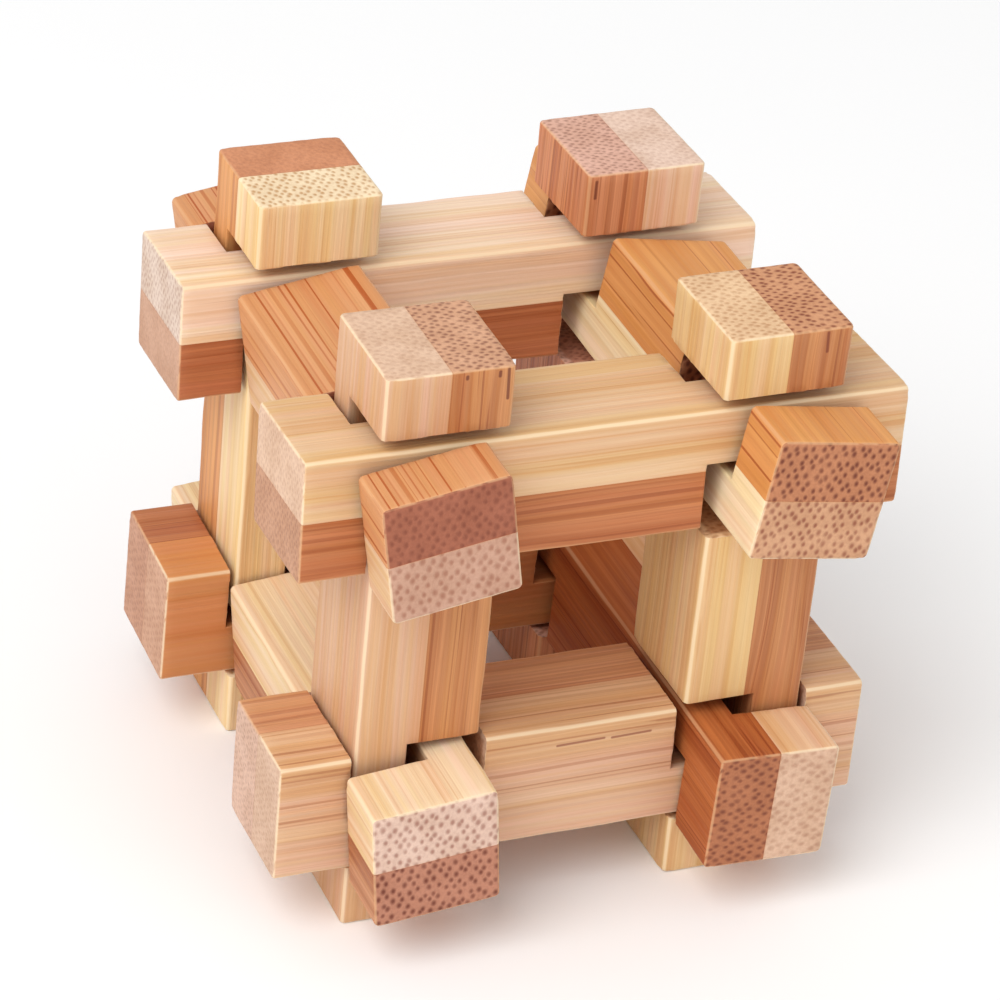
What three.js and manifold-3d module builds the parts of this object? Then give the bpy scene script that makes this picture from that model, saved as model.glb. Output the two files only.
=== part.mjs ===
// Wooden burr puzzle: twelve square bars laced into an open cube, three crossing at each corner.
// Every bar is glued up from a pale strip and a dark strip, and then notched at both corners.
// Millimetres, +Z up. The origin is under the middle of the puzzle, where its four posts stand.
import * as THREE from 'three';
import { mergeVertices, toCreasedNormals } from 'three/addons/utils/BufferGeometryUtils.js';
import Module from 'manifold-3d';

const BAR_WIDTH = 12;
const BAR_LENGTH = 57.4;
const SPACING = 32; // between the centre lines of two parallel bars
const EDGE_RADIUS = 0.55; // on the four long edges
const END_BEVEL = 0.28; // round the end faces
const ARC_STEPS = 3;
const CREASE_ANGLE = 0.6; // radians, above which an edge stays sharp

const HALF = BAR_WIDTH / 2;
const END = BAR_LENGTH / 2;
const CORNER = SPACING / 2; // from the middle of a bar to the middle of its notch
const REACH = BAR_WIDTH; // how far a cutting box runs past the wood

// What is left of each bar inside a notch is a thin neck along one long edge.
// "keep" is the side of the neck on each cross axis, and "neck" is its thickness there.
// "clears" is the axes of the crossing bars that the notch is cut long enough for, "room" is how
// far it runs past them at each end, and "headroom" is how much more that is at a post's head.
// front and left are the minus sides, back, right and top the plus sides.
const CROSSBAR_NECK = { y: 5.9, z: 5.4 }; // bars that run left to right, axis x
const DEPTHBAR_NECK = { x: 4.2, z: 4.5 }; // bars that run front to back, axis y
const POST_NECK = { x: 5, y: 3.9 }; // upright bars, axis z
const POST_TONGUE_GAP = 1.2; // the post's tongue stops this far short of the notch's middle

// shift is where the loose bar sits, measured from its exact place, and roll is its lean in degrees.
const crossbar = (name, y, z, glue, pale, shift, roll, colours) => ({
  name, axis: 'x', side: { y, z }, keep: { y: -1, z }, neck: CROSSBAR_NECK,
  clears: ['z'], room: 0.4, ends: ['left', 'right'], glue, pale, shift, roll, colours,
});
const depthbar = (name, x, z, glue, pale, shift, roll, colours) => ({
  name, axis: 'y', side: { x, z }, keep: { x: -x, z: -z }, neck: DEPTHBAR_NECK,
  clears: ['x', 'z'], room: 0.3, ends: ['front', 'back'], glue, pale, shift, roll, colours,
});
const post = (name, x, y, glue, pale, shift, roll, colours) => ({
  name, axis: 'z', side: { x, y }, keep: { x, y: 1 }, neck: POST_NECK, tongue: true,
  clears: ['x'], room: 0.3, headroom: 0.85, ends: ['bottom', 'top'], glue, pale, shift, roll, colours,
});

// glue is the axis the two strips lie side by side on, and pale is the pale strip's side of it.
const BARS = [
  crossbar('front_top_bar', -1, 1, 'z', 1, [0.16, 0.29, -0.91], -2.6, ['#e4c196', '#c07b50']),
  crossbar('back_top_bar', 1, 1, 'z', 1, [-0.23, 0.41, -1.15], -1.8, ['#e8c8a0', '#c98a63']),
  crossbar('front_bottom_bar', -1, -1, 'y', -1, [-0.25, -0.18, 0.06], -0.7, ['#d9ab87', '#b87854']),
  crossbar('back_bottom_bar', 1, -1, 'y', -1, [-0.3, 0.22, 0.3], 2.7, ['#c98454', '#b27353']),
  depthbar('left_top_bar', -1, 1, 'z', -1, [-1.07, 0.49, -0.85], -9.7, ['#e0b795', '#b87a50']),
  depthbar('right_top_bar', 1, 1, 'z', -1, [1.66, -0.26, -0.62], 8.6, ['#dba97c', '#b9744a']),
  depthbar('left_bottom_bar', -1, -1, 'z', 1, [-0.3, -0.7, -0.75], -5.8, ['#ecc69a', '#b87c60']),
  depthbar('right_bottom_bar', 1, -1, 'x', 1, [0.5, -0.85, -1], 1.8, ['#deb48e', '#b06745']),
  post('front_left_post', -1, -1, 'x', -1, [0.25, 0.4, 0], 0, ['#e0b792', '#c98a5e']),
  post('front_right_post', 1, -1, 'x', -1, [0, 0, 0], 0.8, ['#e6c298', '#c27f58']),
  post('back_left_post', -1, 1, 'y', -1, [-0.23, 0, 0], 0.4, ['#e6c094', '#c98a62']),
  post('back_right_post', 1, 1, 'x', 1, [-0.45, -0.6, 0], 1.5, ['#e2b794', '#c47d56']),
];

const AXES = ['x', 'y', 'z'];
const wasm = await Module();
wasm.setup();

// Three.js geometry to a solid, and back.
function solidOf(geometry) {
  const bare = new THREE.BufferGeometry();
  bare.setAttribute('position', geometry.getAttribute('position'));
  if (geometry.index) bare.setIndex(geometry.index);
  const merged = mergeVertices(bare, 1e-4);
  const vertProperties = new Float32Array(merged.getAttribute('position').array);
  const triVerts = new Uint32Array(merged.index.array);
  return new wasm.Manifold(new wasm.Mesh({ numProp: 3, vertProperties, triVerts }));
}

function geometryOf(solid) {
  const mesh = solid.getMesh();
  const geometry = new THREE.BufferGeometry();
  geometry.setAttribute('position', new THREE.BufferAttribute(new Float32Array(mesh.vertProperties), 3));
  geometry.setIndex(new THREE.BufferAttribute(new Uint32Array(mesh.triVerts), 1));
  return geometry;
}

// A box given by its low and high corner, each an object with x, y and z.
function box(low, high) {
  const geometry = new THREE.BoxGeometry(high.x - low.x, high.y - low.y, high.z - low.z);
  geometry.translate((high.x + low.x) / 2, (high.y + low.y) / 2, (high.z + low.z) / 2);
  return solidOf(geometry);
}

// A box that runs clear through the wood except where a range narrows it.
function slab(ranges) {
  const low = { x: -REACH, y: -REACH, z: -REACH };
  const high = { x: REACH, y: REACH, z: REACH };
  for (const [axis, range] of Object.entries(ranges)) {
    low[axis] = range[0];
    high[axis] = range[1];
  }
  return box(low, high);
}

// The outer part of a bar on one side, thickness deep and reaching past the wood.
function sideRange(side, thickness) {
  const inner = side * (HALF - thickness);
  return side > 0 ? [inner, REACH] : [-REACH, inner];
}

// A square bar with rounded long edges and eased ends, centred on the origin.
function blank(axis) {
  const flat = HALF - END_BEVEL;
  const radius = EDGE_RADIUS - END_BEVEL;
  const outline = new THREE.Shape();
  outline.moveTo(-flat + radius, -flat);
  outline.lineTo(flat - radius, -flat);
  outline.absarc(flat - radius, -flat + radius, radius, -Math.PI / 2, 0);
  outline.lineTo(flat, flat - radius);
  outline.absarc(flat - radius, flat - radius, radius, 0, Math.PI / 2);
  outline.lineTo(-flat + radius, flat);
  outline.absarc(-flat + radius, flat - radius, radius, Math.PI / 2, Math.PI);
  outline.lineTo(-flat, -flat + radius);
  outline.absarc(-flat + radius, -flat + radius, radius, Math.PI, 1.5 * Math.PI);
  const geometry = new THREE.ExtrudeGeometry(outline, {
    depth: BAR_LENGTH - 2 * END_BEVEL,
    curveSegments: ARC_STEPS,
    bevelSize: END_BEVEL,
    bevelThickness: END_BEVEL,
    bevelSegments: 2,
  });
  geometry.translate(0, 0, END_BEVEL - END);
  if (axis === 'x') geometry.rotateY(Math.PI / 2);
  if (axis === 'y') geometry.rotateX(Math.PI / 2);
  return solidOf(geometry);
}

// The bars that meet a bar at one of its corners.
function crossingBars(bar, corner) {
  const spot = { ...bar.side, [bar.axis]: corner };
  const meets = (other) => Object.entries(other.side).every(([axis, side]) => spot[axis] === side);
  return BARS.filter((other) => other !== bar && meets(other));
}

// Where a notch starts and stops along its bar, so that the crossing bars fit in as they sit.
function notchSpan(bar, corner) {
  const along = AXES.indexOf(bar.axis);
  const faces = [];
  for (const other of crossingBars(bar, corner)) {
    if (!bar.clears.includes(other.axis)) continue;
    const centre = corner * CORNER + other.shift[along] - bar.shift[along];
    const lean = THREE.MathUtils.degToRad(Math.abs(other.roll));
    const reach = HALF * (Math.cos(lean) + Math.sin(lean)) + bar.room;
    faces.push(centre - reach, centre + reach);
  }
  const extra = corner > 0 && bar.headroom ? bar.headroom : 0;
  return [Math.min(...faces), Math.max(...faces) + extra];
}

// The wood cut away at one corner of a bar: all but the neck, and on a post all but its tongue too.
function notch(bar, corner) {
  const middle = corner * CORNER;
  const span = notchSpan(bar, corner);
  const neck = { [bar.axis]: [span[0] - 1, span[1] + 1] };
  for (const [cross, side] of Object.entries(bar.keep)) {
    neck[cross] = sideRange(side, bar.neck[cross]);
  }
  let cut = slab({ [bar.axis]: span }).subtract(slab(neck));
  if (bar.tongue) {
    const root = corner < 0 ? span[1] + 1 : span[0] - 1;
    const tip = middle - corner * POST_TONGUE_GAP;
    const tongue = { z: [Math.min(root, tip), Math.max(root, tip)], x: neck.x };
    cut = cut.subtract(slab(tongue));
  }
  return cut;
}

// Turns and moves a geometry from the middle of the axes to where its bar sits.
function place(geometry, bar) {
  const lean = THREE.MathUtils.degToRad(bar.roll);
  if (bar.axis === 'x') geometry.rotateX(lean);
  if (bar.axis === 'y') geometry.rotateY(lean);
  if (bar.axis === 'z') geometry.rotateZ(lean);
  const spot = AXES.map((axis, i) => (bar.side[axis] || 0) * CORNER + bar.shift[i]);
  return geometry.translate(spot[0], spot[1], spot[2] + END);
}

// Adds one piece of wood to the group.
function addPiece(solid, bar, name, colour) {
  const geometry = toCreasedNormals(place(geometryOf(solid), bar), CREASE_ANGLE);
  const material = new THREE.MeshStandardMaterial({ color: colour, roughness: 0.6, metalness: 0 });
  const mesh = new THREE.Mesh(geometry, material);
  mesh.name = name;
  group.add(mesh);
}

// One bar: a strip that keeps the neck and runs the whole length, and a strip cut into three blocks.
function addBar(bar) {
  let wood = blank(bar.axis);
  for (const corner of [-1, 1]) {
    wood = wood.subtract(notch(bar, corner));
  }
  const whole = bar.keep[bar.glue];
  const wholeTone = whole === bar.pale ? 'pale' : 'dark';
  const blockTone = whole === bar.pale ? 'dark' : 'pale';
  const colourOf = { pale: bar.colours[0], dark: bar.colours[1] };
  const lengthwise = { [bar.axis]: [-BAR_LENGTH, BAR_LENGTH] };
  const strip = wood.intersect(slab({ ...lengthwise, [bar.glue]: sideRange(whole, HALF) }));
  addPiece(strip, bar, `${bar.name}_${wholeTone}_strip`, colourOf[wholeTone]);
  const cutAt = [-BAR_LENGTH, -CORNER, CORNER, BAR_LENGTH];
  const labels = [bar.ends[0], 'middle', bar.ends[1]];
  labels.forEach((label, i) => {
    const stretch = { [bar.axis]: [cutAt[i], cutAt[i + 1]], [bar.glue]: sideRange(-whole, HALF) };
    const block = wood.intersect(slab(stretch));
    addPiece(block, bar, `${bar.name}_${blockTone}_${label}_block`, colourOf[blockTone]);
  });
}

const group = new THREE.Group();
group.name = 'wooden_burr_puzzle';
BARS.forEach(addBar);

// The puzzle is centred over the origin, whatever its bars' shifts are.
const middle = new THREE.Box3().setFromObject(group).getCenter(new THREE.Vector3());
for (const mesh of group.children) {
  mesh.geometry.translate(-middle.x, -middle.y, 0);
}

export default group;
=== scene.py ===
import cmath
import math

import bmesh
import bpy
from mathutils import Matrix, Vector, noise


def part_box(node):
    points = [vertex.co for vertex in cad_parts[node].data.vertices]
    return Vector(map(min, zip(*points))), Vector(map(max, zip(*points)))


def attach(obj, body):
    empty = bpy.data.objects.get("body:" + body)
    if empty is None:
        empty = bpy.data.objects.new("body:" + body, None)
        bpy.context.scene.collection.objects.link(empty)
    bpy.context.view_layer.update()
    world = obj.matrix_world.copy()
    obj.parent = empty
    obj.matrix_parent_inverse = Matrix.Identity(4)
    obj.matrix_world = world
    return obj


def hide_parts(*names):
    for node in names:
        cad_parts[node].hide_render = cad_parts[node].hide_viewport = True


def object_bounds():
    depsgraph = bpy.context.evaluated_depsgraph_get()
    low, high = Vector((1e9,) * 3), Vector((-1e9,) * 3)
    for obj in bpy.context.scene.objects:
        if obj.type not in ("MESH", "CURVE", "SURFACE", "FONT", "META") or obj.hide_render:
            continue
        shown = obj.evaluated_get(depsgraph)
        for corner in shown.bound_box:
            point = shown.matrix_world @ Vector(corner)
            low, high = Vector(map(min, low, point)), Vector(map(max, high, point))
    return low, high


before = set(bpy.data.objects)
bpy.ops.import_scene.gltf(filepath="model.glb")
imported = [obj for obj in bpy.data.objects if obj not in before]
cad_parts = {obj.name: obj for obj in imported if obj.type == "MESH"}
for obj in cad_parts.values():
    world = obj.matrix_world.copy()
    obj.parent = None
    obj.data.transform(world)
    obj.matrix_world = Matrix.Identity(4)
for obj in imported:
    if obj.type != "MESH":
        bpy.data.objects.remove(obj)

MM = 0.001
CAD_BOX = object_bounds()

# Mesh detail, in millimetres.
SLICE_ALONG = 1.0  # between cuts across the fibres
SLICE_ACROSS = 0.5  # between cuts along the fibres
CUT_EASING = 0.16  # on the edges a saw left at a notch
SAW_ANGLE = math.radians(50)  # edges sharper than this are saw cuts
SHARP_ANGLE = math.radians(42)  # edges sharper than this stay sharp to the eye
ON_GLUE = 0.01  # nearer to the glue plane than this counts as on it

# Wear, in millimetres taken off the wood.
SKIN_RELIEF = 0.035  # ridges along the fibres
EDGE_WEAR = 0.16  # knocks along the long edges
END_RELIEF = 0.05  # an end face, sawn and sanded
TORN_FIBRES = 0.4  # a notch's shoulders, sawn across the fibres
LONG_EDGE_FROM = 5.0  # both distances from the bar's middle, where its rounded edge starts
END_DEPTH = 1.5  # how far in from the end a face still counts as the end


class Bar:
    """One loose bar and its own straight frame: along the fibres, through the glue line, and across."""

    def __init__(self, name, number):
        self.name = name
        self.number = number
        self.nodes = sorted(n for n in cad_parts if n.startswith(name + "_"))
        strip = next(n for n in self.nodes if n.endswith("_strip"))
        low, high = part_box(strip)
        sizes = [b - a for a, b in zip(low, high)]
        self.along = sizes.index(max(sizes))
        self.roll = self.measured_roll(strip)
        self.turn = Matrix.Rotation(self.roll, 3, "XYZ"[self.along])
        self.back = self.turn.transposed()
        self.middle = Vector((0, 0, 0))
        points = {n: [self.local(v.co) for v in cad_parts[n].data.vertices] for n in self.nodes}
        every = [p for group in points.values() for p in group]
        low = Vector([min(p[i] for p in every) for i in range(3)])
        high = Vector([max(p[i] for p in every) for i in range(3)])
        self.middle = (low + high) / 2
        self.half_length = (high - low)[self.along] / 2
        apart = self.mean(points, "pale") - self.mean(points, "dark")
        cross = [i for i in range(3) if i != self.along]
        self.glue = max(cross, key=lambda i: abs(apart[i]))
        self.wide = min(cross, key=lambda i: abs(apart[i]))
        self.pale_side = math.copysign(1, apart[self.glue])

    def measured_roll(self, strip):
        """The bar's lean about its own length, from the directions its flat faces look in."""
        total = 0
        first, second = (self.along + 1) % 3, (self.along + 2) % 3
        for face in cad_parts[strip].data.polygons:
            across = complex(face.normal[first], face.normal[second])
            if abs(across) > 0.9:
                total += face.area * (across / abs(across)) ** 4
        return cmath.phase(total) / 4

    def mean(self, points, tone):
        """The middle of all the wood of one tone."""
        chosen = [p for n, group in points.items() if f"_{tone}_" in n for p in group]
        low = Vector([min(p[i] for p in chosen) for i in range(3)])
        high = Vector([max(p[i] for p in chosen) for i in range(3)])
        return (low + high) / 2

    def local(self, point):
        """A point of the shared frame, in millimetres from the bar's middle."""
        return self.back @ (point / MM) - self.middle

    def world(self, point):
        """A point of the bar's own frame, in the shared frame."""
        return self.turn @ (point + self.middle) * MM

    def direction(self, axis):
        """One of the bar's own axes, in the shared frame."""
        return self.turn.col[axis].copy()


def on_glue_plane(face, bar):
    return abs(face.normal[bar.glue]) > 0.9 and abs(face.calc_center_median()[bar.glue]) < ON_GLUE


def ease_cuts(bm, bar):
    """Takes the sharpness off the saw cuts, but not where the strips are glued."""
    def cut(edge):
        if len(edge.link_faces) != 2 or not edge.is_convex:
            return False
        glued = all(abs(v.co[bar.glue]) < ON_GLUE for v in edge.verts)
        return not glued and edge.calc_face_angle(0) > SAW_ANGLE

    edges = [e for e in bm.edges if cut(e)]
    bmesh.ops.bevel(bm, geom=edges, offset=CUT_EASING, offset_type="OFFSET", segments=2,
                    profile=0.5, affect="EDGES", clamp_overlap=True)


def slice_up(bm, bar):
    """Cuts the faces into small ones on a grid that both strips of a bar share."""
    for axis in (bar.glue, bar.wide, bar.along):
        step = SLICE_ALONG if axis == bar.along else SLICE_ACROSS
        low = min(v.co[axis] for v in bm.verts)
        high = max(v.co[axis] for v in bm.verts)
        across = Vector([float(i == axis) for i in range(3)])
        for k in range(math.floor(low / step), math.ceil(high / step) + 1):
            place = (k + 0.5) * step
            if low < place < high:
                parts = bm.verts[:] + bm.edges[:] + bm.faces[:]
                bmesh.ops.bisect_plane(bm, geom=parts, dist=0.01, plane_co=across * place,
                                       plane_no=across)


def ripple(bar, point, along, across, salt=0):
    """Smooth noise from -1 to 1 that is drawn out along the fibres."""
    spot = Vector((point[bar.along] * along, point[bar.glue] * across, point[bar.wide] * across))
    return noise.noise(spot + Vector((bar.number * 7.31 + salt, salt * 3.7, bar.number * 2.9)))


def wear_down(bm, bar):
    """Takes a little wood off everywhere: ridges, knocked edges and torn shoulders."""
    moves = []
    for vert in bm.verts:
        outside = [f for f in vert.link_faces if not on_glue_plane(f, bar)]
        if not outside:
            continue
        out = sum((f.normal for f in outside), Vector()).normalized()
        spot = vert.co
        depth = SKIN_RELIEF * (0.5 + 0.5 * ripple(bar, spot, 0.03, 1.1))
        if min(abs(spot[bar.glue]), abs(spot[bar.wide])) > LONG_EDGE_FROM:
            depth += EDGE_WEAR * max(0, ripple(bar, spot, 0.16, 0.4, 1) + 0.1)
        move = -out * depth
        sawn = [f.normal[bar.along] for f in outside if abs(f.normal[bar.along]) > 0.9]
        if sawn:
            facing = math.copysign(1, sawn[0])
            if abs(spot[bar.along]) > bar.half_length - END_DEPTH:
                taken = END_RELIEF * (0.5 + 0.5 * ripple(bar, spot, 0, 1.3, 2))
            else:
                torn = max(0, ripple(bar, spot, 0, 1.3, 3)) + 0.5 * max(0, ripple(bar, spot, 0, 0.3, 4))
                taken = TORN_FIBRES * torn
            move[bar.along] -= facing * taken
        moves.append((vert, move))
    for vert, move in moves:
        vert.co += move


def wood_mesh(node, bar):
    """The detailed mesh that stands for one CAD node."""
    bm = bmesh.new()
    bm.from_mesh(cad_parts[node].data)
    for vert in bm.verts:
        vert.co = bar.local(vert.co)
    bmesh.ops.remove_doubles(bm, verts=bm.verts, dist=0.002)
    bmesh.ops.dissolve_limit(bm, angle_limit=math.radians(0.5), verts=bm.verts, edges=bm.edges)
    ease_cuts(bm, bar)
    slice_up(bm, bar)
    bm.normal_update()
    wear_down(bm, bar)
    bm.normal_update()
    for face in bm.faces:
        face.smooth = True
    for edge in bm.edges:
        edge.smooth = edge.calc_face_angle(0) < SHARP_ANGLE
    for vert in bm.verts:
        vert.co = bar.world(vert.co)
    mesh = bpy.data.meshes.new(node + "_wood")
    bm.to_mesh(mesh)
    bm.free()
    return mesh


# ---- Bamboo ----

# Fibre bundles. The distance between them is a look's "pitch".
BUNDLE_SHAKE = 0.34  # of that distance
BUNDLE_REACH = 0.35  # of that distance, from a bundle's middle to where it fades out
BUNDLE_SIZES = (0.85, 1.15)  # the least and the most, as factors on the reach
BUNDLE_DEEP = 1.5  # how much further apart they are through the wall of the cane than along it
BUNDLE_STRETCH = 1.35  # how much longer a bundle is than wide

# Painted shade: the saw cuts inside a notch are darkened and reddened where the notch shades them. It starts
# at these distances from the bar's middle, in millimetres: how deep under the skin, and how far from the
# end.
PAINTED_SHADE_DEPTH = (5.0, 5.6)
PAINTED_SHADE_ALONG = (24.0, 25.5)
PAINTED_SHADE_STRENGTH = 0.85
PAINTED_SHADE_COLOUR = (0.62, 0.42, 0.32)

# Factors on a strip's own colour, in linear red, green and blue.
HUES = [(1.01, 1.0, 0.88), (1.0, 1.0, 1.0), (1.0, 0.93, 0.95)]  # yellower, plain, pinker
END_TONES = [(1.06, 1.07, 1.08), (0.94, 0.91, 0.88)]  # lighter and darker patches

SEAM = (0.03, 0.13)  # millimetres from the glue plane, where its dark line starts to fade and ends
SEAM_STRENGTH = 0.22
SPECKLE = 0.16
SATIN = (0.50, 0.60)  # roughness along the grain
END_ROUGHNESS = 0.16  # how much rougher an end is
SHEEN_OF_WOOD = 0.35  # the shader's specular level
BUMP_STRENGTH = 0.5
BUMP_HEIGHT = 0.08  # millimetres
PIT_STRENGTH = 0.8


def linear(code):
    """A hex colour as the linear numbers that shaders take."""
    parts = [int(code[i:i + 2], 16) / 255 for i in (1, 3, 5)]
    return tuple(c / 12.92 if c <= 0.04045 else ((c + 0.055) / 1.055) ** 2.4 for c in parts) + (1,)


class Graph:
    """Short ways to add nodes to a material and join them."""

    def __init__(self, material):
        self.tree = material.node_tree

    def node(self, kind, inputs, output=0, **settings):
        node = self.tree.nodes.new(kind)
        for key, value in settings.items():
            setattr(node, key, value)
        for key, value in inputs.items():
            self.feed(node.inputs[key], value)
        return node.outputs[output]

    def feed(self, socket, value):
        if isinstance(value, bpy.types.NodeSocket):
            self.tree.links.new(value, socket)
        else:
            socket.default_value = value

    def math(self, operation, a, b=0.0, c=0.0):
        return self.node("ShaderNodeMath", {0: a, 1: b, 2: c}, operation=operation)

    def vector(self, operation, a, b):
        output = 1 if operation in ("DOT_PRODUCT", "LENGTH", "DISTANCE") else 0
        return self.node("ShaderNodeVectorMath", {0: a, 1: b}, output, operation=operation)

    def join(self, x, y, z=0.0):
        return self.node("ShaderNodeCombineXYZ", {0: x, 1: y, 2: z})

    def step(self, value, low, high, to_low=0.0, to_high=1.0):
        """Goes smoothly from to_low to to_high as value goes from low to high."""
        inputs = {"Value": value, "From Min": low, "From Max": high, "To Min": to_low, "To Max": to_high}
        return self.node("ShaderNodeMapRange", inputs, interpolation_type="SMOOTHSTEP")

    def mix(self, amount, a, b, blend="MIX"):
        inputs = {0: amount, 6: a, 7: b}
        return self.node("ShaderNodeMix", inputs, 2, data_type="RGBA", blend_type=blend)

    def ramp(self, value, colours):
        """Runs evenly through the colours as value goes from 0 to 1."""
        node = self.tree.nodes.new("ShaderNodeValToRGB")
        steps = node.color_ramp.elements
        while len(steps) < len(colours):
            steps.new(0.5)
        for i, colour in enumerate(colours):
            steps[i].position = i / (len(colours) - 1)
            steps[i].color = colour
        self.feed(node.inputs[0], value)
        return node.outputs[0]

    def noise(self, spot, detail=2.0, rough=0.5, output=0):
        inputs = {"Vector": spot, "Scale": 1.0, "Detail": detail, "Roughness": rough}
        return self.node("ShaderNodeTexNoise", inputs, output)

    def drawn_out(self, grain, along, across, seed):
        """The grain's own coordinates, stretched for a noise and shifted by a seed."""
        factors = (along, across, across)
        return self.join(*[self.math("MULTIPLY_ADD", *terms) for terms in zip(grain, factors, seed)])


def grain_of(g, bar):
    """Distances in millimetres along the fibres, from the glue line towards the pale side, and across."""
    spot = g.node("ShaderNodeTexCoord", {}, "Object")
    turn = [0.0, 0.0, 0.0]
    turn[bar.along] = bar.roll
    centre = bar.world(Vector((0, 0, 0)))
    inputs = {"Vector": spot, "Location": centre, "Rotation": turn, "Scale": (MM, MM, MM)}
    local = g.node("ShaderNodeMapping", inputs, vector_type="TEXTURE")
    parts = [g.node("ShaderNodeSeparateXYZ", {0: local}, i) for i in range(3)]
    return parts[bar.along], g.math("MULTIPLY", parts[bar.glue], bar.pale_side), parts[bar.wide]


def facing(g, bar):
    """How squarely the surface looks along the fibres, through the glue line and across."""
    normal = g.node("ShaderNodeTexCoord", {}, "Normal")
    sides = (bar.along, bar.glue, bar.wide)
    return [g.math("ABSOLUTE", g.vector("DOT_PRODUCT", normal, bar.direction(i))) for i in sides]


def scaled(code, factors):
    """A hex colour's linear numbers, each times its own factor."""
    return tuple(min(1.0, c * f) for c, f in zip(linear(code), factors)) + (1,)


def bundles(g, v, w, pitch, seed):
    """Nearness to a fibre bundle, 1 in its middle, and that bundle's own random number.

    The bundles stand in two staggered lattices, each shaken a little.
    """
    deep = pitch * BUNDLE_DEEP
    found = []
    for stagger in (0.0, 0.5):
        rows = g.math("MULTIPLY_ADD", v, 1 / deep, seed + stagger)
        files = g.math("MULTIPLY_ADD", w, 1 / pitch, seed + stagger)
        cell = g.join(g.math("FLOOR", rows), g.math("FLOOR", files), stagger)
        random = g.node("ShaderNodeTexWhiteNoise", {"Vector": cell}, "Color")
        random = [g.node("ShaderNodeSeparateColor", {0: random}, i) for i in range(3)]
        offsets = []
        for place, shake, size in ((rows, random[0], deep), (files, random[1], pitch)):
            jitter = g.math("MULTIPLY_ADD", shake, -BUNDLE_SHAKE, BUNDLE_SHAKE / 2 - 0.5)
            inside = g.math("ADD", g.math("FRACT", place), jitter)
            offsets.append(g.math("MULTIPLY", inside, size))
        offsets[0] = g.math("MULTIPLY", offsets[0], 1 / BUNDLE_STRETCH)
        away = g.vector("LENGTH", g.join(*offsets), (0, 0, 0))
        least, most = (pitch * BUNDLE_REACH * size for size in BUNDLE_SIZES)
        reach = g.math("MULTIPLY_ADD", random[2], most - least, least)
        near = g.node("ShaderNodeMath", {0: 1.0, 1: g.math("DIVIDE", away, reach)},
                      operation="SUBTRACT", use_clamp=True)
        found.append((near, random[2]))
    (near_a, own_a), (near_b, own_b) = found
    nearest = g.math("MAXIMUM", near_a, near_b)
    first = g.math("GREATER_THAN", near_a, near_b)
    own = g.math("MULTIPLY_ADD", first, g.math("SUBTRACT", own_a, own_b), own_b)
    return nearest, own


def distance_from_line(g, grain, start, finish):
    """Millimetres from a straight line between two points of the bar's own frame."""
    along = finish - start
    spot = g.vector("SUBTRACT", g.join(*grain), start)
    share = g.math("DIVIDE", g.vector("DOT_PRODUCT", spot, along), along.length_squared)
    share = g.node("ShaderNodeClamp", {0: share})
    nearest = g.vector("MULTIPLY", g.join(share, share, share), along)
    return g.vector("DISTANCE", spot, nearest)


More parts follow.
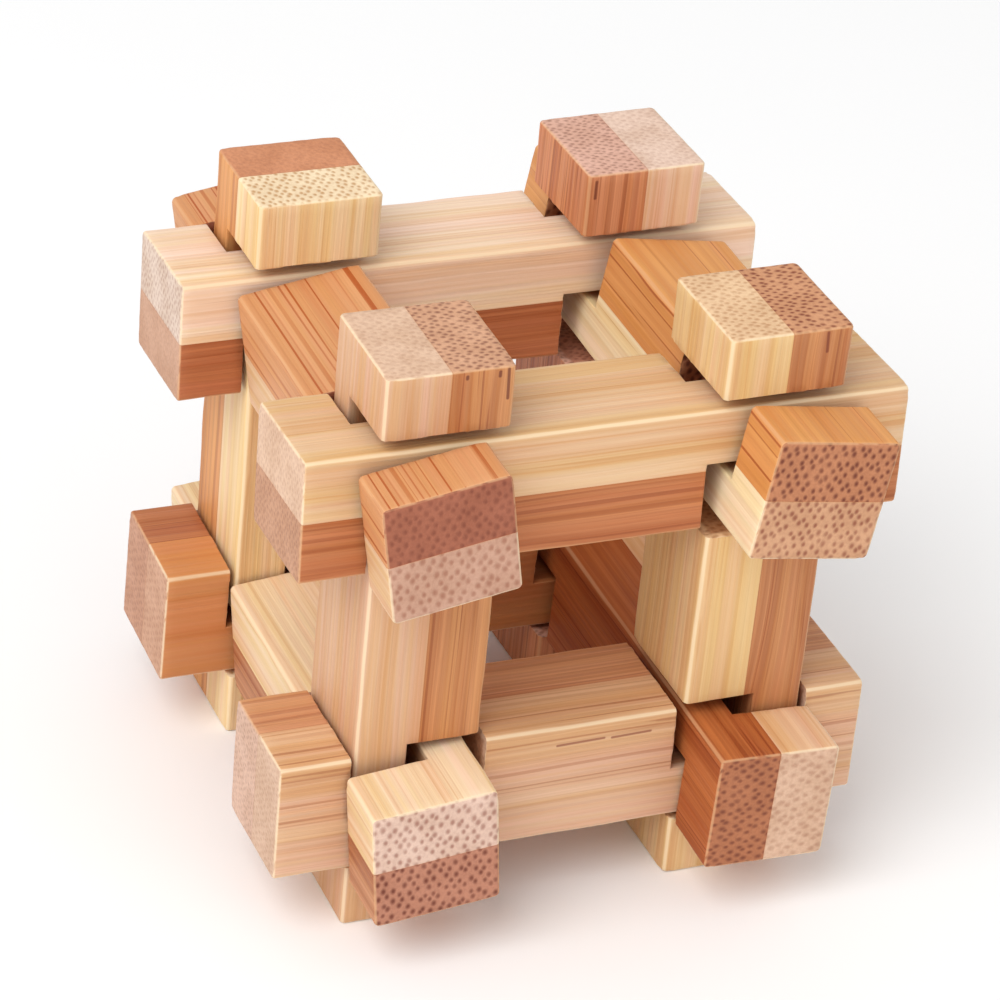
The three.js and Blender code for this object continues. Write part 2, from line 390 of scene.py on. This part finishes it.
def bamboo(bar, tone, look):
    """The bamboo of one tone on one bar. What a look holds is written above PALE."""
    material = bpy.data.materials.new(f"{bar.name}_{tone}_bamboo")
    material.use_nodes = True
    g = Graph(material)
    shader = material.node_tree.nodes["Principled BSDF"]
    grain = grain_of(g, bar)
    u, v, w = grain
    end, flat, edge = facing(g, bar)
    number = bar.number + (0 if tone == "pale" else 20)
    seed = (number * 13.7 + 3.1, number * 5.3, number * 8.9)
    on_end = g.step(end, 0.5, 0.78)

    # The fibres wander a little as they run.
    drift = g.noise(g.drawn_out(grain, 0.035, 0.12, seed), 1.0, 0.5, "Color")
    drift = g.vector("SUBTRACT", drift, (0.5, 0.5, 0.5))
    sway = g.vector("MULTIPLY", drift, (0, look["wander"], look["wander"]))
    shift = [g.node("ShaderNodeSeparateXYZ", {0: sway}, i) for i in range(3)]
    fibre = (u, g.math("ADD", v, shift[1]), g.math("ADD", w, shift[2]))

    # Broad bands, streaks and the finest fibres.
    bands = g.noise(g.drawn_out(fibre, 0.008, 0.38, seed), 1.0, 0.5)
    streaks = g.noise(g.drawn_out(fibre, 0.014, 1.5, seed), 3.0, 0.62)
    fine = g.noise(g.drawn_out(fibre, 0.06, 5.0, seed), 2.0, 0.6)
    warmth = g.noise(g.drawn_out(fibre, 0.006, 0.75, seed[::-1]), 1.0, 0.5)
    slits = g.noise(g.drawn_out(fibre, 0.004, 2.5, seed[::-1]), 1.0, 0.5)
    near, own = bundles(g, fibre[1], fibre[2], look["pitch"], seed[1])

    # Sides: from creamy through the wood's own colour to the deep streaks, yellower here and pinker there.
    depth = g.math("MULTIPLY_ADD", bands, 0.5, g.math("MULTIPLY", streaks, 0.5))
    depth = g.step(depth, 0.5 - look["calm"], 0.5 + look["calm"])
    side = g.ramp(depth, [scaled(look["side"], f) for f in look["tones"]])
    hue = g.ramp(g.step(warmth, 0.32, 0.68), [f + (1,) for f in HUES])
    side = g.mix(look["hue"], side, hue, "MULTIPLY")
    hair = g.step(fine, 0.42, 0.72, 0.0, look["fine"])
    line = g.math("MULTIPLY", g.step(near, 0.1, 0.5), g.step(own, 0.15, 0.85, 0.0, look["lines"]))
    grouped = g.step(bands, 0.36, 0.54, 0.3, 1.0)
    cuts = g.step(slits, look["cut_from"], look["cut_from"] + 0.07, 0.0, look["cuts"])
    cuts = g.math("MULTIPLY", cuts, grouped)
    marks = g.math("MAXIMUM", hair, g.math("MAXIMUM", line, cuts))
    side = g.mix(marks, side, linear(look["line"]))

    # Ends.
    patchy = g.noise(g.join(g.math("MULTIPLY", v, 0.3), g.math("MULTIPLY", w, 0.3), seed[1]), 2.0)
    speckle = g.noise(g.join(g.math("MULTIPLY", v, 3.0), g.math("MULTIPLY", w, 3.0), seed[1]), 2.0)
    ground = g.ramp(g.step(patchy, 0.3, 0.7), [scaled(look["end"], f) for f in END_TONES])
    ground = g.mix(g.step(speckle, 0.35, 0.7, 0.0, SPECKLE), ground, linear(look["dot"]))
    strength = g.step(patchy, 0.2, 0.6, look["dots"] * 0.6, look["dots"])
    dot = g.math("MULTIPLY", g.step(near, 0.0, 0.85), strength)
    ends = g.mix(dot, ground, linear(look["dot"]))
    colour = g.mix(on_end, side, ends)

    # Pits and short splits, each from one point to another.
    for start, finish, width in look["pits"]:
        away = distance_from_line(g, grain, Vector(start), Vector(finish))
        pit = g.step(away, width * 0.4, width, PIT_STRENGTH, 0.0)
        colour = g.mix(pit, colour, linear(look["dot"]))

    # Painted shade: the saw cuts inside the notches are darkened where the notch shades them.
    skin = g.math("MAXIMUM", g.math("ABSOLUTE", v), g.math("ABSOLUTE", w))
    painted_shade = g.math("MULTIPLY", g.step(skin, *PAINTED_SHADE_DEPTH, PAINTED_SHADE_STRENGTH, 0.0),
                      g.step(g.math("ABSOLUTE", u), *PAINTED_SHADE_ALONG, 1.0, 0.0))
    colour = g.mix(painted_shade, colour, PAINTED_SHADE_COLOUR + (1,), "MULTIPLY")

    # Edges are paler, partly from wear and partly a painted highlight on the rounded edges, and the glue
    # line is a fine dark seam.
    squarest = g.math("MAXIMUM", g.math("MAXIMUM", end, flat), edge)
    edge_wear_and_highlight = g.step(squarest, 0.80, 0.985, look["edge_wear_and_highlight_strength"], 0.0)
    colour = g.mix(edge_wear_and_highlight, colour, linear(look["edge_wear_and_highlight"]))
    seam = g.step(g.math("ABSOLUTE", v), *SEAM, SEAM_STRENGTH, 0.0)
    colour = g.mix(seam, colour, linear(look["line"]))
    g.feed(shader.inputs["Base Color"], colour)

    rough = g.step(fine, 0.3, 0.7, *SATIN)
    g.feed(shader.inputs["Roughness"], g.math("MULTIPLY_ADD", on_end, END_ROUGHNESS, rough))
    shader.inputs["Specular IOR Level"].default_value = SHEEN_OF_WOOD

    relief = g.math("MULTIPLY_ADD", g.step(near, 0.0, 0.5), -0.5, g.math("MULTIPLY", fine, 0.6))
    relief = g.math("MULTIPLY_ADD", streaks, 0.5, relief)
    bump = {"Strength": BUMP_STRENGTH, "Distance": BUMP_HEIGHT * MM, "Height": relief}
    g.feed(shader.inputs["Normal"], g.node("ShaderNodeBump", bump))
    return material


# What a look holds.
# Colours: "side" and "end" are the wood itself, "line" its dark streaks and the glue line, "dot" the
# bundles on an end, the pits and the splits, "edge_wear_and_highlight" the paler edges, partly worn and
# partly a painted highlight. "tones" are factors on "side", from the palest wood to the deepest.
# Millimetres: "wander" is how far the fibres stray, "pitch" how far apart the bundles stand.
# "calm" is how gently pale and deep wood change over. "cut_from" is the noise from which on a fibre is
# a dark slit, so a higher one makes fewer slits.
# Strengths from 0 to 1: "dots" on an end, "lines" where bundles run along a side, "fine" for the finest
# fibres, "cuts" for the slits, "hue" for HUES and "edge_wear_and_highlight_strength" for the paler edges,
# worn and with a painted highlight.
# "pits" are short lines: two points (along the fibres, towards the pale side, across), in millimetres
# from the bar's middle, and how far from the line it fades out.
PALE = {
    "tones": [(1.10, 1.16, 1.28), (1.03, 1.05, 1.10), (1.0, 0.97, 0.92), (0.92, 0.80, 0.66)],
    "side": "#e6c197", "end": "#e7c7ab", "line": "#c98a4c", "dot": "#94583f", "edge_wear_and_highlight": "#f7e2bd",
    "wander": 0.8, "pitch": 0.86, "dots": 0.5, "lines": 0.2, "calm": 0.2, "hue": 0.9, "fine": 0.14,
    "cut_from": 0.6, "cuts": 0.35, "edge_wear_and_highlight_strength": 0.6, "pits": [],
}
DARK = {
    "tones": [(1.16, 1.20, 1.18), (1.02, 1.03, 1.0), (0.94, 0.87, 0.76), (0.78, 0.62, 0.47)],
    "side": "#c98a5c", "end": "#d09a78", "line": "#8f4520", "dot": "#6c3021", "edge_wear_and_highlight": "#e3b284",
    "wander": 0.8, "pitch": 0.86, "dots": 0.6, "lines": 0.35, "calm": 0.18, "hue": 0.6, "fine": 0.24,
    "cut_from": 0.58, "cuts": 0.6, "edge_wear_and_highlight_strength": 0.5, "pits": [],
}
# What differs from bar to bar: first the pale strip, then the dark one.
LOOKS = {
    "front_top_bar": ({"side": "#dcb68b", "end": "#dfbca0", "dots": 0.25, "pitch": 0.7, "cuts": 0.5},
                      {"side": "#c07a4e", "end": "#c79677", "dots": 0.3, "pitch": 0.7}),
    "back_top_bar": ({"side": "#efd4b6", "end": "#ddc7b6", "dots": 0.45, "pitch": 0.7},
                     {"side": "#b56d47", "end": "#cb9f84", "dots": 0.08}),
    "front_bottom_bar": ({"side": "#dcb28e", "end": "#d7b59b", "dots": 0.25, "line": "#a5643e",
                          "cuts": 0.6, "pitch": 0.7, "pits": [
                              ((7.2, 6, 4.1), (3.4, 6, 4.0), 0.18),
                              ((2.6, 6, 4.1), (-2.0, 6, 4.0), 0.18)]},
                         {"side": "#d39b74", "end": "#dab59f", "dots": 0.25, "pitch": 0.7}),
    "back_bottom_bar": ({"side": "#ce8a56", "end": "#cda084", "dots": 0.3},
                        {"side": "#b5744f", "end": "#c6957a", "dots": 0.25}),
    "left_top_bar": ({"side": "#e2bf98", "end": "#cb9f88", "dots": 0.6, "pitch": 1.05},
                     {"side": "#d89b6c", "end": "#a6634a", "line": "#b0521a", "cut_from": 0.55,
                      "cuts": 0.9, "wander": 0.3, "dots": 0.5, "pitch": 0.96, "fine": 0.06,
                      "lines": 0.1, "calm": 0.36}),
    "right_top_bar": ({"side": "#efd8ae", "end": "#d29f7a", "dots": 0.85, "cuts": 0.5, "line": "#c9904c",
                       "dot": "#8c4c36", "pitch": 0.95},
                      {"side": "#dd9c5e", "end": "#c2815b", "line": "#a34a1c", "cut_from": 0.64,
                       "cuts": 0.8, "dots": 0.9, "pitch": 0.95, "fine": 0.06, "lines": 0.1,
                       "calm": 0.34}),
    "left_bottom_bar": ({"side": "#edd3ad", "end": "#e2c1ae", "dots": 0.72, "dot": "#8f5444",
                         "pitch": 1.0},
                        {"side": "#c08560", "end": "#be8268", "dots": 0.9, "pitch": 0.98}),
    "right_bottom_bar": ({"side": "#deb48e", "end": "#dab498", "dots": 0.4, "cuts": 0.6, "pitch": 1.08},
                         {"side": "#b66838", "end": "#b5734f", "dots": 0.75, "line": "#84340f",
                          "cuts": 0.8, "pitch": 0.96}),
    "front_left_post": ({"side": "#d8ad8a", "end": "#dfbb9e", "dots": 0.25, "pitch": 0.8},
                        {"side": "#ca8b5b", "end": "#d7a482", "dots": 0.65, "pitch": 0.8, "pits": [
                            ((28.1, -1.4, -6), (27.9, -1.4, -6), 0.22),
                            ((28.2, -4.4, -6), (27.8, -4.4, -6), 0.22),
                            ((28.4, -5.2, -6), (25.5, -5.3, -6), 0.2)]}),
    "front_right_post": ({"side": "#e3bf8c", "end": "#e8c39a", "dots": 0.6, "dot": "#b0754a", "pitch": 0.82},
                         {"side": "#c7885b", "end": "#d29870", "dots": 0.9, "pitch": 0.84,
                          "dot": "#7e3c27", "wander": 1.8, "pits": [
                              ((28.3, -3.4, -6), (26.4, -3.5, -6), 0.2)]}),
    "back_left_post": ({"side": "#eccd9d", "end": "#f3dcb8", "dots": 0.8, "dot": "#bb8650",
                        "pitch": 0.82},
                       {"side": "#da9a62", "end": "#d18e67", "dots": 0.1}),
    "back_right_post": ({"side": "#e5be9f", "end": "#e6c8b4", "dots": 0.25, "pitch": 0.8},
                        {"side": "#d48f67", "end": "#dfb09b", "dots": 0.5, "pitch": 0.76, "pits": [
                            ((28.0, -5.2, -6), (26.3, -5.2, -6), 0.22)]}),
}


def make_bar(bar):
    """All the wood of one bar, riding on its body."""
    own_pale, own_dark = LOOKS[bar.name]
    finishes = {
        "pale": bamboo(bar, "pale", {**PALE, **own_pale}),
        "dark": bamboo(bar, "dark", {**DARK, **own_dark}),
    }
    for node in bar.nodes:
        tone = "pale" if "_pale_" in node else "dark"
        piece = bpy.data.objects.new(node + "_wood", wood_mesh(node, bar))
        bpy.context.scene.collection.objects.link(piece)
        piece.data.materials.append(finishes[tone])
        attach(piece, bar.name)
        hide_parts(node)


for number, name in enumerate(sorted(LOOKS)):
    make_bar(Bar(name, number))


# ---- Studio ----

CAMERA_LENS = 155.9  # mm, on a 36 mm sensor
CAMERA_ANGLES = (-24.69, 31.5)  # azimuth and elevation, degrees
CAMERA_LEAN = 5.86  # degrees
CAMERA_DISTANCE = 0.4032  # metres
CAMERA_AIM = (-0.0001, 0.0004, 0.0005)  # metres from the middle of the puzzle
SKY_STRENGTH = 0.68
FLOOR_SIZE = 6  # metres
FLOOR_MOTTLE = 9  # patches to a metre


def look_from(azimuth, elevation, distance, target, roll=0.0):
    """A matrix that looks at the target. Azimuth 0 looks along +Y, 90 along -X; angles in degrees."""
    turn = Matrix.Rotation(math.radians(azimuth), 4, "Z")
    tilt = Matrix.Rotation(math.radians(90 - elevation), 4, "X")
    lean = Matrix.Rotation(math.radians(roll), 4, "Z")
    return Matrix.Translation(target) @ turn @ tilt @ lean @ Matrix.Translation((0, 0, distance))


def add_camera(centre):
    data = bpy.data.cameras.new("camera")
    data.sensor_width = 36
    data.lens = CAMERA_LENS
    data.clip_start = 0.01
    camera = bpy.data.objects.new("camera", data)
    aim = centre + Vector(CAMERA_AIM)
    camera.matrix_world = look_from(*CAMERA_ANGLES, CAMERA_DISTANCE, aim, CAMERA_LEAN)
    bpy.context.scene.collection.objects.link(camera)
    bpy.context.scene.camera = camera


def add_softbox(name, target, size, watts, azimuth, elevation, distance):
    """A round lamp that looks at the target. Size and distance in metres, angles as in look_from."""
    data = bpy.data.lights.new(name, "AREA")
    data.shape = "DISK"
    data.size = size
    data.energy = watts
    lamp = bpy.data.objects.new(name, data)
    lamp.matrix_world = look_from(azimuth, elevation, distance, target)
    bpy.context.scene.collection.objects.link(lamp)


def add_floor():
    material = bpy.data.materials.new("floor_paper")
    material.use_nodes = True
    g = Graph(material)
    shader = material.node_tree.nodes["Principled BSDF"]
    spot = g.vector("MULTIPLY", g.node("ShaderNodeTexCoord", {}, "Object"), (FLOOR_MOTTLE,) * 3)
    colour = g.mix(g.noise(spot, 3.0), linear("#ffffff"), linear("#fbfbfb"))
    g.feed(shader.inputs["Base Color"], colour)
    shader.inputs["Roughness"].default_value = 0.9
    bpy.ops.mesh.primitive_plane_add(size=FLOOR_SIZE)
    floor = bpy.context.object
    floor.name = "floor"
    floor.data.materials.append(material)


centre = Vector([(a + b) / 2 for a, b in zip(*CAD_BOX)])
add_camera(centre)
add_softbox("key", centre, size=0.7, watts=5.0, azimuth=-59, elevation=48.5, distance=0.9)
add_softbox("fill", centre, size=0.9, watts=0.8, azimuth=20, elevation=25, distance=1.0)
add_floor()
world = bpy.data.worlds.new("studio")
world.use_nodes = True
world.node_tree.nodes["Background"].inputs["Color"].default_value = (1, 1, 1, 1)
world.node_tree.nodes["Background"].inputs["Strength"].default_value = SKY_STRENGTH
bpy.context.scene.world = world
bpy.context.scene.view_settings.view_transform = "Standard"
